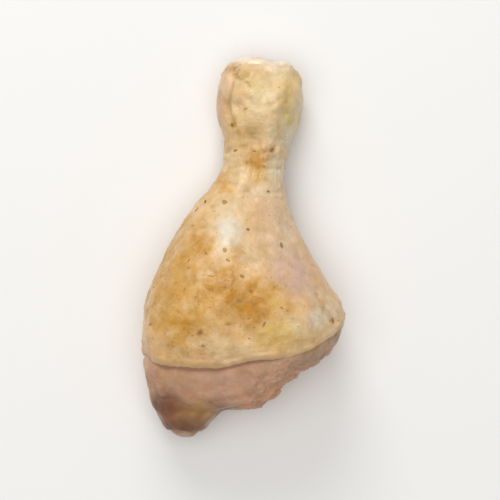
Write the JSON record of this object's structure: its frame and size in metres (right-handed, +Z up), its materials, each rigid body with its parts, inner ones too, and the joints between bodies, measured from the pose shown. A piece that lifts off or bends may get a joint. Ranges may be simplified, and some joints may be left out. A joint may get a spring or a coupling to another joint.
{
  "type": "chicken drumstick",
  "caption": "Raw, seasoned chicken drumstick lying on its side: skin drawn over the calf, bare meat below the skin's edge, and the bone's ends showing.",
  "frame": {"origin": "on the surface the drumstick lies on, below the middle of its box", "axes": "+Y along the leg towards the ankle, +Z up from the surface, +X to the side where the skin's edge runs back furthest"},
  "size_m": [0.0596, 0.1151, 0.0413],
  "materials": {
    "seasoned_skin": "moist raw skin with oil, turmeric-coloured seasoning and dark herb flakes",
    "raw_meat": "moist raw muscle, pinkish tan",
    "cartilage": "moist, pale, smooth cartilage"
  },
  "bodies": {
    "root": {"skin": "seasoned_skin", "meat": "raw_meat", "bone": "cartilage"}
  },
  "joints": []
}
